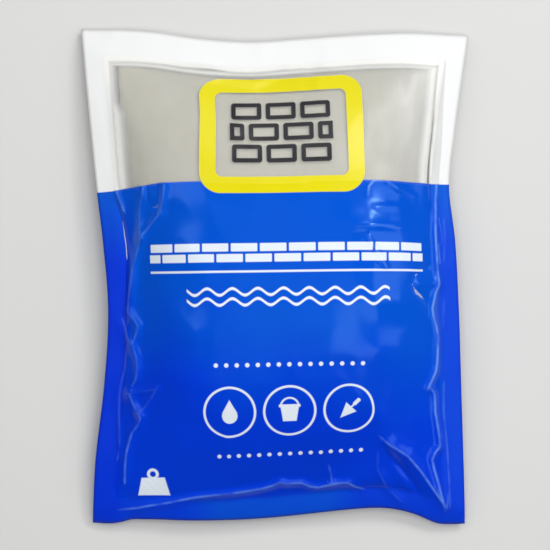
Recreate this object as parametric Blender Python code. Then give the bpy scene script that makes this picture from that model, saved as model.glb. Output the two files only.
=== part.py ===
"""Small pouch of dry cement mortar, lying on its back.

Two printed vinyl panels are heat-sealed together round all four edges and make the outer bag.
Inside it lies a thinner clear liner bag, whose mouth is only folded shut, and in that the cement.
Metres, +Z up. The bag's width runs along X and its length along Y, with the printed top at +Y.
The origin is on the floor, in the middle of the flat patch that the bag rests on.

Every surface is a function of (s, t), the shares of the flat bag's width and length at a point.
"""
import math

import bmesh
import bpy

# The flat outer bag, before it was filled
FLAT_WIDTH = 0.220
FLAT_LENGTH = 0.283
SIDE_SEAL = 0.0115
TOP_SEAL = 0.0155
BOTTOM_SEAL = 0.0125
FILM = 0.0003
GAP = 0.0003

# The filled bag: how high its seams are held, how far the seals droop outside them,
# and how far the filling lifts the front panel and would press down the back one
SIDE_SEAM_HEIGHT = 0.0182
END_SEAM_HEIGHT = 0.0105
CORNER_HEIGHT = 0.0052
SIDE_DROOP = 0.0035
END_DROOP = 0.00175
FRONT_RISE = 0.0255
BACK_DROP = 0.0365

# The filling doesn't reach the seams. Its foot lies at these shares of the way to them from the middle.
LEFT_FOOT = 0.925
RIGHT_FOOT = 0.955
BOTTOM_FOOT = 0.940
TOP_FOOT = 0.960

# How round the bulge is: a higher power gives a flatter middle and a steeper edge.
# The last one is how soon the side seams climb from the corners: lower is sooner.
ACROSS_POWER = 3.4
ALONG_POWER = 2.9
CLIMB_POWER = 0.7

# How far the filling has drawn each edge in from the flat bag's edge, as (share of that edge, metres)
LEFT_PULL = ((0, 0.0073), (0.13, 0.0094), (0.29, 0.0147), (0.43, 0.0168), (0.56, 0.0141),
             (0.68, 0.0100), (0.82, 0.0058), (1, 0.0008))
RIGHT_PULL = ((0, 0.0019), (0.18, 0.0036), (0.31, 0.0049), (0.44, 0.0061), (0.58, 0.0082),
              (0.69, 0.0115), (0.80, 0.0083), (0.91, 0.0041), (1, 0.0002))
TOP_PULL = ((0, 0.0017), (0.16, 0.0031), (0.31, 0.0076), (0.44, 0.0092), (0.57, 0.0074),
            (0.82, 0.0043), (1, 0.0052))
BOTTOM_PULL = ((0, 0.0016), (0.07, 0.0038), (0.30, 0.0034), (0.47, 0.0048), (0.71, 0.0101),
               (0.79, 0.0104), (0.86, 0.0073), (0.94, 0.0017), (1, 0.0014))

# Ripples of the two ends' seams: waves along the end, metres up and down, and how fast they fade
END_WAVES = 1.5
END_WAVE_HEIGHT = 0.0016
END_WAVE_FADE = 3

# Puckers that run in from the side seams, deepest at PUCKER_PLACE of the way from the middle
PUCKERS = 7
PUCKER_DEPTH = 0.0012
PUCKER_SLANT = 0.13
PUCKER_PLACE = 0.8

# Soft hollows and humps of the front, as (across, along, radius, metres up), in shares of the half bag
FRONT_LUMPS = ((0.42, -0.28, 0.38, 0.0016), (-0.30, 0.12, 0.40, -0.0012), (0.62, -0.74, 0.22, -0.0024),
               (-0.55, -0.45, 0.30, 0.0012), (0.10, 0.72, 0.35, -0.0010))

# Between the seals and the filling's foot the panels part by this much each, over this distance
LOOSE = 0.0022
LOOSE_RUN = 0.004

# Where the liner ends, as a share of the way from the middle to the outer bag's seams,
# and how far the cement's flat facets stay off the liner
LINER_REACH = 0.985
CEMENT_GAP = 0.0006

# The grid that every surface shares inside the filling's foot
CELLS_ACROSS = 16
CELLS_ALONG = 20

# A short step, in shares of the flat bag, over which a surface's slope is measured
SLOPE_STEP = 0.004

SMOOTH_UNDER = math.radians(40)
WELD = 0.00001

COLOURS = {
    "printed_blue": (0.004, 0.075, 0.62, 1),
    "clear_film": (0.86, 0.87, 0.86, 1),
    "cement": (0.50, 0.49, 0.43, 1),
}


def eased(points, at):
    """The value at one place of a smooth curve through a few (place, value) points."""
    last = len(points) - 1
    i = max(k for k in range(last) if k == 0 or points[k][0] <= at)
    (x0, y0), (x1, y1) = points[i], points[i + 1]

    def slope(k):
        before, after = points[max(k - 1, 0)], points[min(k + 1, last)]
        return (after[1] - before[1]) / (after[0] - before[0])

    step = x1 - x0
    w = (at - x0) / step
    return ((1 + 2 * w) * (1 - w) ** 2 * y0 + w * (1 - w) ** 2 * step * slope(i)
            + w * w * (3 - 2 * w) * y1 + w * w * (w - 1) * step * slope(i + 1))


def plan(s, t):
    """Where a point of the flat bag lies in the filled one, seen from above."""
    left = -FLAT_WIDTH / 2 + eased(LEFT_PULL, t)
    right = FLAT_WIDTH / 2 - eased(RIGHT_PULL, t)
    bottom = -FLAT_LENGTH / 2 + eased(BOTTOM_PULL, s)
    top = FLAT_LENGTH / 2 - eased(TOP_PULL, s)
    return left + (right - left) * s, bottom + (top - bottom) * t


def inside(s, t):
    """The same point as (across, along), both from -1 to 1 between the seals' inner edges."""
    across = (s * FLAT_WIDTH - FLAT_WIDTH / 2) / (FLAT_WIDTH / 2 - SIDE_SEAL)
    room = FLAT_LENGTH - TOP_SEAL - BOTTOM_SEAL
    along = (t * FLAT_LENGTH - BOTTOM_SEAL - room / 2) / (room / 2)
    return across, along


def seam_height(s, t):
    """Height of the surface in which the two panels are sealed together."""
    climb = math.sin(math.pi * t) ** CLIMB_POWER if 0 < t < 1 else 0
    end = CORNER_HEIGHT + (END_SEAM_HEIGHT - CORNER_HEIGHT) * max(math.sin(math.pi * s), 0)
    height = end + (SIDE_SEAM_HEIGHT - end) * climb
    height += END_WAVE_HEIGHT * math.sin(2 * math.pi * END_WAVES * s) * abs(2 * t - 1) ** END_WAVE_FADE
    across, along = inside(s, t)
    past_side = max(abs(across) - 1, 0) * (FLAT_WIDTH / 2 - SIDE_SEAL) / SIDE_SEAL
    past_end = min(max(abs(along) - 1, 0) * FLAT_LENGTH / 2 / TOP_SEAL, 1)
    return height - max(SIDE_DROOP * past_side * climb, END_DROOP * past_end)


def bulge(s, t):
    """How full the bag is at a point: about 1 in the middle and 0 at the filling's foot."""
    across, along = inside(s, t)
    out = abs(across) / (RIGHT_FOOT if across > 0 else LEFT_FOOT)
    up = abs(along) / (TOP_FOOT if along > 0 else BOTTOM_FOOT)
    if out >= 1 or up >= 1:
        return 0
    full = (1 - out ** ACROSS_POWER) * (1 - up ** ALONG_POWER)
    strength = (out / PUCKER_PLACE) ** 4 * (1 - out) / (1 - PUCKER_PLACE) * (1 - up ** 2)
    wave = math.cos(math.pi * PUCKERS * (along + PUCKER_SLANT * across))
    return max(full + PUCKER_DEPTH / FRONT_RISE * strength * wave, 0)


def parting(s, t):
    """How far each panel stands off the seam's surface at a point, before any cement lifts it."""
    across, along = inside(s, t)
    from_seal = min((1 - abs(across)) * FLAT_WIDTH / 2, (1 - abs(along)) * FLAT_LENGTH / 2)
    share = min(max(from_seal / LOOSE_RUN, 0), 1)
    return GAP / 2 + LOOSE * share * share * (3 - 2 * share)


def front_height(s, t):
    """Inner face of the front panel."""
    across, along = inside(s, t)
    full = bulge(s, t)
    lumps = sum(up * math.exp(-((across - a) ** 2 + (along - b) ** 2) / radius ** 2)
                for a, b, radius, up in FRONT_LUMPS)
    return seam_height(s, t) + parting(s, t) + FRONT_RISE * full + lumps * min(full * 2, 1)


def back_height(s, t):
    """Inner face of the back panel, which lies flat on the floor under the middle of the bag."""
    return max(seam_height(s, t) - parting(s, t) - BACK_DROP * bulge(s, t), FILM)


def steepness(height, s, t):
    """How much longer a step along the surface is than its shadow on the floor."""
    x0, y0 = plan(s - SLOPE_STEP, t - SLOPE_STEP)
    x1, y1 = plan(s + SLOPE_STEP, t + SLOPE_STEP)
    rise_across = (height(s + SLOPE_STEP, t) - height(s - SLOPE_STEP, t)) / (x1 - x0)
    rise_along = (height(s, t + SLOPE_STEP) - height(s, t - SLOPE_STEP)) / (y1 - y0)
    return math.sqrt(1 + rise_across ** 2 + rise_along ** 2)


def set_in(height, depth, sign):
    """A surface that lies that deep under another (sign 1) or over it (-1), measured square to it."""
    return lambda s, t: height(s, t) - sign * depth * steepness(height, s, t)


def stations(cells, seals, feet, length, extent):
    """Shares of the flat bag's side at which a surface of that extent has a grid line.

    The extent is "cement", up to the filling's feet, "liner", or "panel", which takes in the seals.
    """
    low, high = seals[0] / length, 1 - seals[1] / length
    centre, half = (high + low) / 2, (high - low) / 2
    lines = []
    for k in range(cells + 1):
        even = 2 * k / cells - 1
        crowded = -math.cos(math.pi * k / cells)
        line = (even + crowded) / 2
        lines.append(line * (feet[1] if line > 0 else feet[0]))
    if extent != "cement":
        between = [(foot + LINER_REACH) / 2 for foot in feet]
        lines = [-LINER_REACH, -between[0], *lines, between[1], LINER_REACH]
    marks = [centre + half * line for line in lines]
    return [0, low, *marks, high, 1] if extent == "panel" else marks


def sheet(bm, height, facing_up, extent, rim_height=None):
    """A grid of triangles on one of the bag's surfaces. Returns its rows of vertices, bottom row first.

    With a rim_height the rim lies on that surface instead, apart from the open top.
    """
    across = stations(CELLS_ACROSS, (SIDE_SEAL, SIDE_SEAL), (LEFT_FOOT, RIGHT_FOOT), FLAT_WIDTH, extent)
    along = stations(CELLS_ALONG, (BOTTOM_SEAL, TOP_SEAL), (BOTTOM_FOOT, TOP_FOOT), FLAT_LENGTH, extent)
    last_column, last_row = len(across) - 1, len(along) - 1
    rows = []
    for j, t in enumerate(along):
        row = []
        for i, s in enumerate(across):
            at_rim = i in (0, last_column) or j == 0
            z = rim_height(s, t) if rim_height and at_rim else height(s, t)
            row.append(bm.verts.new((*plan(s, t), z)))
        rows.append(row)
    for j in range(last_row):
        for i in range(last_column):
            a, b, c, d = rows[j][i], rows[j][i + 1], rows[j + 1][i + 1], rows[j + 1][i]
            # Each cell is split along the line that points to the middle of the bag
            if (across[i] + across[i + 1] < 1) == (along[j] + along[j + 1] < 1):
                halves = (a, b, c), (a, c, d)
            else:
                halves = (a, b, d), (b, c, d)
            for corners in halves:
                bm.faces.new(corners if facing_up else corners[::-1])
    return rows


def rim_of(rows):
    """The vertices round the edge of a sheet, in order."""
    left = [row[0] for row in rows]
    right = [row[-1] for row in rows]
    return rows[0] + right[1:] + rows[-1][-2::-1] + left[-2:0:-1]


def finished(name, bm, colour, roughness):
    """A named object with the mesh and its own material."""
    bm.normal_update()
    mesh = bpy.data.meshes.new(name)
    bm.to_mesh(mesh)
    bm.free()
    piece = bpy.data.objects.new(name, mesh)
    bpy.context.scene.collection.objects.link(piece)
    material = bpy.data.materials.new(name)
    material.use_nodes = True
    shader = material.node_tree.nodes["Principled BSDF"]
    shader.inputs["Base Color"].default_value = COLOURS[colour]
    shader.inputs["Roughness"].default_value = roughness
    shader.inputs["Metallic"].default_value = 0
    mesh.materials.append(material)
    mesh.shade_smooth()
    mesh.set_sharp_from_angle(angle=SMOOTH_UNDER)
    return piece


def thickened(piece, side):
    """Gives a sheet the film's thickness, outwards (side 1) or inwards (-1)."""
    solidify = piece.modifiers.new("film", "SOLIDIFY")
    solidify.thickness = FILM
    solidify.offset = side
    solidify.use_even_offset = True


def outer_panel(name, height, facing_up):
    """One printed panel of the outer bag, with its sealed margins."""
    bm = bmesh.new()
    sheet(bm, height, facing_up, "panel")
    thickened(finished(name, bm, "printed_blue", 0.25), 1)


def liner_bag():
    """The clear inner bag: a pocket of one film, closed at its sides and foot and open at its mouth."""
    bm = bmesh.new()
    sheet(bm, set_in(front_height, GAP, 1), True, "liner", seam_height)
    sheet(bm, set_in(back_height, GAP, -1), False, "liner", seam_height)
    bmesh.ops.remove_doubles(bm, verts=bm.verts, dist=WELD)
    thickened(finished("inner_bag", bm, "clear_film", 0.2), -1)


def cement_body():
    """The mortar powder, one solid body that fills the liner."""
    bm = bmesh.new()
    depth = GAP + FILM + CEMENT_GAP
    top = rim_of(sheet(bm, set_in(front_height, depth, 1), True, "cement"))
    bottom = rim_of(sheet(bm, set_in(back_height, depth, -1), False, "cement"))
    for i, corner in enumerate(top):
        after = (i + 1) % len(top)
        bm.faces.new((corner, bottom[i], bottom[after]))
        bm.faces.new((corner, bottom[after], top[after]))
    finished("cement_fill", bm, "cement", 0.95)


def main():
    for piece in list(bpy.data.objects):
        bpy.data.objects.remove(piece)
    outer_panel("outer_bag_front", front_height, True)
    outer_panel("outer_bag_back", back_height, False)
    liner_bag()
    cement_body()


if __name__ == "__main__":
    main()
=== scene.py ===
"""Looks of a small pouch of dry cement mortar, lying on its back.

Two printed films are sealed together round their edges over a clear liner and the cement.
Both are draped over the cement by a cloth simulation, and the front one then gets its folds and crumples.
The file is laid out as an add-on: one operator makes each piece, and the sizes and colours that a user
would change are in property groups. The other sizes are named at the top.
"""

import math

import bmesh
import bpy
import numpy as np
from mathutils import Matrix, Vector, noise
from mathutils.bvhtree import BVHTree


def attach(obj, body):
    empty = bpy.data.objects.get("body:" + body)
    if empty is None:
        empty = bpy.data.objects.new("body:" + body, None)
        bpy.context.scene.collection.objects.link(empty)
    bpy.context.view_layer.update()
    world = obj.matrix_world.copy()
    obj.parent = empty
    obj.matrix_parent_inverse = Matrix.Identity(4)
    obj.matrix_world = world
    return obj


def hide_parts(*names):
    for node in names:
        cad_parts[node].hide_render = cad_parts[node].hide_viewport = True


bl_info = {
    "name": "Cement pouch",
    "version": (1, 0, 0),
    "blender": (4, 5, 0),
    "location": "View3D > Sidebar > Cement pouch",
    "description": "Makes a filled, heat-sealed pouch of dry mortar with its printed film, liner and powder",
    "category": "Object",
}

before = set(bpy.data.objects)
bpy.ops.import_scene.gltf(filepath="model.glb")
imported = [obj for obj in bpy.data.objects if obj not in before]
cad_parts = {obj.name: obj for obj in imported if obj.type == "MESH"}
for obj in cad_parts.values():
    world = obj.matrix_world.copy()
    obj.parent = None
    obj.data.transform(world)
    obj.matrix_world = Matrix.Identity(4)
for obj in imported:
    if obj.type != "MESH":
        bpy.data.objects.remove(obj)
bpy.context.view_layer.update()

# The seams' course and the edges' draw, as in the part's source, but for the two lower corners, which are
# blunter here: (share of that edge, metres)
LEFT_PULL = ((0, 0.0073), (0.13, 0.0094), (0.29, 0.0147), (0.43, 0.0168), (0.56, 0.0141),
             (0.68, 0.0100), (0.82, 0.0058), (1, 0.0008))
RIGHT_PULL = ((0, 0.0019), (0.18, 0.0036), (0.31, 0.0049), (0.44, 0.0061), (0.58, 0.0082),
              (0.69, 0.0115), (0.80, 0.0083), (0.91, 0.0041), (1, 0.0002))
TOP_PULL = ((0, 0.0017), (0.16, 0.0031), (0.31, 0.0076), (0.44, 0.0092), (0.57, 0.0074),
            (0.82, 0.0043), (1, 0.0052))
BOTTOM_PULL = ((0, 0.0018), (0.045, 0.0014), (0.075, 0.0022), (0.11, 0.0040), (0.30, 0.0034), (0.47, 0.0048),
               (0.71, 0.0101), (0.79, 0.0104), (0.86, 0.0073), (0.925, 0.0018), (0.97, 0.0011), (1, 0.0013))

# The seams' surface: heights over the floor in the middle of the sides, in the middle of the ends and at the
# corners, how far the seals droop outwards, how soon the sides climb, and the waves of the two ends
SIDE_SEAM_HEIGHT = 0.0182
END_SEAM_HEIGHT = 0.0105
CORNER_HEIGHT = 0.0052
SIDE_DROOP = 0.0035
END_DROOP = 0.00175
CLIMB_POWER = 0.7
END_WAVES = 1.5
END_WAVE_HEIGHT = 0.0016
END_WAVE_FADE = 3

# Soft ripples of the sealed margins, which the plain solids leave out: metres up and down, waves a metre,
# and the noise's slice
RIPPLE = 0.0006
RIPPLE_WAVES = 34
RIPPLE_SLICE = 3

# The films lie this far either side of the seams' surface at the seals, never closer to it than the
# clearance, and this far off it when empty
SEAL_GAP = 0.00015
SEAM_CLEARANCE = 0.00005
EMPTY_GAP = 0.0012

# Cloth is simulated at ten times the real size, because Blender's collisions are made for larger things.
# A small jitter of the empty film, in metres, lets it buckle in many places.
CLOTH_SCALE = 10
CLOTH_JITTER = 0.00005
CLOTH_SEED = 4

# The powder and the seams are in their places by BLOWN_FRAME. The pressure on the film turns from blowing
# to suction between the LET_OFF_FRAMES.
BLOWN_FRAME = 14
LET_OFF_FRAMES = (16, 22)
LAST_FRAME = 34
BLOWING = 40
SUCTION = -12
FILM_CLOTH = {
    "quality": 8,
    "mass": 0.15,
    "air_damping": 2,
    "tension_stiffness": 60,
    "compression_stiffness": 60,
    "shear_stiffness": 40,
    "bending_stiffness": 0.1,
    "tension_damping": 10,
    "compression_damping": 10,
    "shear_damping": 10,
    "bending_damping": 1,
    "bending_model": "ANGULAR",
    "use_pressure": True,
    "use_pressure_volume": False,
    "uniform_pressure_force": BLOWING,
    "vertex_group_pressure": "loose",
    "vertex_group_mass": "seals",
    "pin_stiffness": 50,
}
FRICTION = 3
COLLISION_QUALITY = 3

# How far the film stands off the powder, off what it touches in the simulation, and off the floor there
FILM_STANDOFF = 0.0004
FILM_CONTACT = 0.0005
FLOOR_STANDOFF = 0.0001

# Cell of the powder's surface in the simulation, half the side of the ground, and cells across a seal
HEAP_CELL = 0.003
GROUND_HALF = 0.25
MARGIN_CELLS = 3

# How far the window's finish runs on below its foot, where the print's edge sags, as a share of the length
FOOT_DIP = 0.02

# The liner stays this far off the powder, off the seams' surface and off the outer films
LINER_OFF_CEMENT = 0.00012
LINER_OFF_SEAM = 0.00006
LINER_OFF_FILM = 0.00025

# Its folds in front: height in metres, waves a metre across and along, how narrow they are, and the noise's
# slice. Where the outer film stands off the powder, the liner keeps to LINER_LIFT of the gap.
LINER_WRINKLE = 0.0012
LINER_WAVES = (38, 22.8)
LINER_NARROW = 3
LINER_SLICE = 5
LINER_LIFT = 0.5

# Where the simulation's creases are smoothed out to make room for the folds below: a zone's weight is 0
# at its first and 1 at its second value of x and of y, in metres. None leaves that direction out.
# CALM_ELSEWHERE is the weight of the rest. The back film is smoothed in fewer rounds.
CALM_ZONES = (
    ((-0.050, -0.064), None),
    ((0.070, 0.080), None),
    (None, (-0.098, -0.110)),
    ((0.035, 0.055), (-0.070, -0.090)),
    ((0.050, 0.062), (0.050, 0.070)),
)
CALM_ROUNDS = 24
BACK_CALM_ROUNDS = 6
CALM_ELSEWHERE = 0.08

# Places closer than this count as one, in metres
HAIR = 1e-6

# Millimetres in a metre, for the folds
MM = 1000

# Folds of the front film: each has its half width, how strongly a highlight is painted along its crest, and
# points of the crest (x, y, height). Lengths are in millimetres, and a valley's heights are below 0.
FRONT_FOLDS = (
    (5.0, 0.25, ((-72.7, 49.6, 0.5), (-75.0, 36.1, 0.6), (-75.0, 27.1, 0.8), (-74.4, 21.4, 0.9),
          (-76.1, 14.7, 0.9), (-78.9, 5.6, 1.0), (-79.8, -2.3, 1.0), (-81.2, -11.3, 0.8),
          (-81.8, -20.3, 0.4))),
    (4.5, 0.25, ((-81.8, -20.3, 0.4), (-78.9, -24.2, 0.7), (-76.1, -28.2, 0.9), (-77.2, -32.7, 0.7),
          (-78.7, -36.7, 0.2))),
    (4.5, 0.25, ((-84.6, -24.8, 0.2), (-82.3, -33.8, 0.5), (-79.5, -39.5, 0.8), (-77.2, -45.1, 0.9),
          (-76.4, -51.3, 0.9), (-77.2, -57.5, 0.6), (-79.2, -61.5, 0.2))),
    (5.0, 0.12, ((-65.4, -63.2, 0.3), (-68.8, -68.8, 0.5), (-74.7, -76.7, 0.7))),
    (4.0, 0.08, ((-81.2, -65.4, 0.4), (-73.3, -64.3, 0.4), (-65.4, -63.2, 0.3))),
    (5.0, 0.5, ((-81.2, -66.0, 0.4), (-77.8, -73.9, 0.7), (-74.7, -79.5, 1.0), (-76.1, -83.4, 1.0),
          (-79.5, -88.0, 0.9), (-81.2, -93.0, 0.8), (-82.9, -99.2, 0.7), (-83.7, -107.1, 0.6),
          (-84.0, -116.2, 0.3))),
    (2.5, 0.2, ((-82.9, -42.9, 0.1), (-83.4, -51.9, 0.3), (-85.7, -59.8, 0.4), (-86.8, -67.1, 0.4),
          (-87.1, -76.7, 0.4), (-86.8, -86.8, 0.4), (-86.8, -95.9, 0.3), (-88.0, -103.2, 0.1))),
    (5.5, 0.35, ((-74.4, 21.4, 1.0), (-68.8, 28.2, 1.0), (-63.7, 34.4, 0.8))),
    (4.0, 0, ((-71.0, 50.2, -0.7), (-67.1, 42.9, -0.8), (-63.7, 35.5, -0.6))),
    (4.5, 0.25, ((-60.9, 50.7, 0.8), (-61.7, 42.9, 0.9), (-63.2, 35.5, 0.7))),
    (3.5, 0, ((-88.0, 40.6, -0.5), (-85.1, 30.4, -0.8), (-82.9, 17.5, -0.8), (-82.3, 7.9, -0.8),
          (-83.4, -7.9, -0.8), (-84.6, -23.7, -0.5))),
    (1.3, 1, ((-88.2, 47.4, 0.4), (-86.3, 42.3, 0.7), (-84.0, 36.7, 0.3))),
    (3.5, 0.9, ((91.3, 54.1, 0.6), (90.5, 40.0, 0.9), (90.5, 23.1, 0.9), (91.3, 7.9, 0.8), (91.9, 0.0, 0.6),
          (92.5, -4.5, 0.7), (90.2, -10.1, 0.8), (88.5, -18.0, 0.8), (89.1, -22.6, 0.8),
          (90.8, -28.2, 0.9), (91.9, -33.8, 0.9), (91.6, -41.7, 0.8), (91.3, -48.5, 0.8),
          (90.5, -53.6, 0.8), (88.5, -58.1, 0.7), (86.0, -63.2, 0.3))),
    (3.5, 0.7, ((86.8, -62.0, 0.6), (89.7, -65.4, 0.8), (90.2, -69.9, 0.7), (90.5, -76.7, 0.7),
          (91.9, -84.0, 0.8), (93.0, -90.8, 0.9), (93.3, -95.9, 0.8), (90.5, -99.2, 0.7),
          (88.8, -103.2, 0.7), (90.2, -109.4, 0.7), (92.2, -115.6, 0.7), (94.2, -123.5, 0.6),
          (96.4, -130.8, 0.3))),
    (3.5, 0, ((85.7, 5.1, -0.4), (78.9, 0.6, -0.5), (76.7, -4.5, -0.5), (79.5, -9.0, -0.5),
          (85.7, -14.7, -0.4), (87.4, -20.3, -0.2))),
    (6.0, 0, ((80.6, -4.5, 0.4), (90.2, -3.9, 0.6))),
    (2.0, 0.15, ((95.3, 31.6, 0.2), (95.9, 20.3, 0.35), (95.3, 9.0, 0.2))),
    (2.0, 0.15, ((95.3, -15.2, 0.2), (94.7, -28.2, 0.2))),
    (2.0, 0.25, ((95.3, -60.9, 0.2), (95.3, -75.6, 0.4), (96.4, -86.8, 0.4), (97.5, -98.1, 0.4),
          (98.7, -115.0, 0.4), (99.2, -129.7, 0.4))),
    (4.0, 0.6, ((-86.8, -131.9, 0.2), (-77.2, -130.8, 0.6), (-69.9, -129.4, 0.7), (-60.9, -128.0, 0.9),
          (-53.0, -126.3, 0.9), (-44.5, -124.6, 0.9), (-36.1, -123.5, 0.9), (-24.8, -122.4, 0.9),
          (-13.5, -120.7, 0.8), (-6.8, -119.5, 0.8), (-1.1, -117.8, 0.9), (3.4, -115.6, 1.0),
          (6.8, -116.7, 0.9), (10.7, -116.2, 0.8), (15.2, -116.2, 0.8), (20.3, -118.4, 0.7),
          (24.8, -119.0, 0.7), (31.6, -117.3, 0.8), (37.2, -116.2, 0.8), (41.7, -116.2, 0.8),
          (45.7, -118.4, 0.6), (49.6, -119.5, 0.2))),
    (4.0, 0.25, ((31.0, -107.1, 0.2), (32.1, -111.6, 0.5), (32.7, -117.3, 0.6))),
    (8.0, 0.7, ((59.8, -90.2, 0.2), (65.4, -94.7, 1.2), (75.0, -100.9, 1.4), (82.3, -109.4, 1.2),
          (90.2, -120.7, 1.0), (97.0, -130.2, 0.5))),
    (5.0, 0.12, ((58.1, -99.2, 0.3), (58.1, -108.3, 0.6), (63.2, -118.4, 0.6), (71.6, -126.9, 0.4))),
    (4.0, 0, ((62.0, -96.4, -0.4), (72.2, -108.3, -0.6), (81.2, -120.7, -0.4))),
    (3.0, 0.12, ((63.2, 52.4, 0.3), (68.8, 48.5, 0.4), (77.8, 44.0, 0.2))),
    (1.5, 0.9, ((51.9, 45.1, 0.3), (52.4, 49.6, 0.4), (55.3, 53.0, 0.4), (58.6, 53.0, 0.3))),
    (4.0, 0.15, ((45.7, 27.1, 0.2), (58.6, 28.2, 0.35), (69.9, 26.5, 0.2))),
    (3.0, 0.1, ((56.4, 38.3, 0.2), (68.8, 38.3, 0.2))),
    (3.0, 0.4, ((51.9, 21.4, 0.5), (56.4, 14.7, 0.8), (62.0, 5.1, 0.4))),
    (3.0, 0, ((-89.7, 120.7, 0.3), (-68.0, 118.0, 0.5), (-47.4, 115.0, 0.7), (-33.3, 110.5, 0.5))),
    (3.0, 0, ((94.2, 120.7, 0.3), (91.9, 102.1, 0.5), (89.7, 89.1, 0.5), (86.8, 83.4, 0.7),
          (88.5, 73.9, 0.5), (89.1, 56.4, 0.5))),
)

# The heights above are multiplied by FOLD_SCALE. Crests are rounded to CREST_ROUND, in millimetres, and a
# higher FLANK_POWER makes the flanks more hollow.
CREST_ROUND = 0.4
FLANK_POWER = 1.8
FOLD_SCALE = 2.0

# Painted highlight along a crest, as a paler blue: how far it reaches to both sides, in metres, and what
# share of that is at full strength. Strength is worked out up to the reach below from the crest, in
# millimetres. The
# highlight comes in patches: waves a metre, contrast, and what is taken off.
GLINT_LINE = 0.0007
GLINT_CORE = 0.3
GLINT_REACH = 3
GLINT_PATCHES = (110, 3, 0.7)

# Crumples all over the front film: height in metres, waves a metre across and along, how each direction
# leans on the other, the noise that adds no height, and the noise's slice
CRUMPLE = 0.0012
CRUMPLE_WAVES = (38, 20)
CRUMPLE_LEAN = (0.4, 0.3)
CRUMPLE_LEVEL = 0.35
CRUMPLE_SLICE = 11

# The finished front film's mesh: stops across and along, as shares of the flat bag, and cells between them
FRONT_COLUMNS = ((0.220, 0.800), (6, 49, 80, 40, 6))
FRONT_ROWS = ((0.140,), (6, 40, 119, 58, 7))

# Rounds of subdivision, and the powder's lumps: waves a metre, and the fractal's fall, step and octaves
CEMENT_LEVELS = 2
LINER_LEVELS = 1
LUMP_WAVES = 90
LUMP_FRACTAL = (0.8, 2.2, 4)

# How soft the print's edges are, in metres on the film
INK_EDGE = 0.00025

# The print lies a little askew on the film, and the blue's upper edge sags towards the left seal
PRINT_SKEW = 0.014
SAG_FROM = 0.066
SAG_SLOPE = 0.095

# The right border gets narrower downwards: from where, over what length, and by how much
NARROW_FROM = 0.135
NARROW_LENGTH = 0.065
NARROWER = 0.0050

# The print, in metres on the flat bag, from its middle. Areas have a centre and half sizes.
WINDOW_FRAME = ((0.0035, 0.0815), (0.0460, 0.0350))
WINDOW_FRAME_LINE = 0.0092
WINDOW_FRAME_CORNERS = (0.012, 0.004)
WINDOW_BRICKS = ((0.0035, 0.0820), (0.02895, 0.0195))
WINDOW_BRICK = (0.0193, 0.0130)
WINDOW_JOINT = 0.0022
WINDOW_BRICK_CORNER = 0.0018
WINDOW_BRICK_LINE = 0.0028
HEAD_BRICKS = ((0.0060, 0.0138), (0.0800, 0.0058))
HEAD_BRICK = (0.0160, 0.0058)
HEAD_JOINT = 0.0014
HEAD_BRICK_CORNER = 0.0005
RULE = ((0.0060, 0.0035), (0.0800, 0.00058))
WAVE_ROWS = (-0.0075, -0.0130)
WAVE_BOX = ((0.0060, -0.0103), (0.0565, 0.0065))
WAVE_LENGTH = 0.0141
WAVE_SWING = 0.0018
WAVE_LINE = 0.0016
ROUNDELS = ((-0.0270, -0.0740), (0.0065, -0.0740), (0.0400, -0.0740))
ROUNDEL_RADIUS = 0.0142
ROUNDEL_LINE = 0.0013
DOT_ROWS = ((0.0065, -0.0475), (0.0065, -0.1005))
DOT_ROW_HALF = 0.0435
DOT_SPACING = 0.0058
DOT_RADIUS = 0.0012
WEIGHT_MARK = (-0.0735, -0.1180)
WEIGHT_SCALE = 1.4
BACK_LABEL = ((0.0, -0.0250), (0.0700, 0.0550))
BACK_LABEL_CORNER = 0.004

# Painted shade: the blue is darker at both sides below the window, where the film turns away from the light:
# from this far out, over the fade, and unevenly. At the right it is weaker. Up the bag it fades as the last
# pair says: a start, less this much a metre.
SHADE_LEFT = 0.084
SHADE_RIGHT = 0.092
SHADE_RIGHT_SHARE = 0.7
DEEP_FADE = 0.011
SHADE_UNEVEN = 0.008
SHADE_TOP = (1.2, 25)
CLOUD_WAVES = 14

# A patch of painted shade, where the light falls off, grows towards the foot's left corner: slopes across
# and along, how uneven it is, how much is taken off, and its strength
PATCH_SLOPES = (5, 14)
PATCH_UNEVEN = 1.6
PATCH_LESS = 0.15
PATCH_SHARE = 0.85

# The painted shade is lighter again over the middle of the foot's seal, which faces the light: below
# PALE_FOOT over PALE_FADE, round PALE_MIDDLE to both sides as far as PALE_HALF, with soft ends
PALE_FOOT = 0.1275
PALE_FADE = 0.003
PALE_MIDDLE = -0.003
PALE_HALF = 0.052
PALE_ENDS = 0.02
PALE_SHARE = 0.65

# How strongly the films mirror, on the shader's scale, and the tint of that gloss on the blue ink
SHINE = 0.5
INK_GLOSS = (0.30, 0.62, 1.0)

# How much rougher the film is where it is sealed, which comes on over SEAL_FADE inside the seams
SEAL_ROUGHNESS = 0.32
SEAL_FADE = 0.003

# The clear film turns milky this far inside the seams, over this length
MILKY_FROM = 0.0052
MILKY_FADE = 0.0026

# Roughness of the films where they are least and most dulled, and so for the haze of the clear ones.
# LINER_IOR makes the liner mirror more. INSIDE and CLEAR_INSIDE are the finishes of the films' insides.
PRINT_ROUGHNESS = (0.08, 0.28)
WINDOW_ROUGHNESS = (0.28, 0.45)
WINDOW_HAZE = (0.04, 0.16)
LINER_ROUGHNESS = (0.18, 0.34)
LINER_HAZE = (0.02, 0.16)
LINER_IOR = 2.2
INSIDE = {"Roughness": 0.5}
CLEAR_INSIDE = {"Roughness": 0.4, "Alpha": 0.02}

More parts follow.
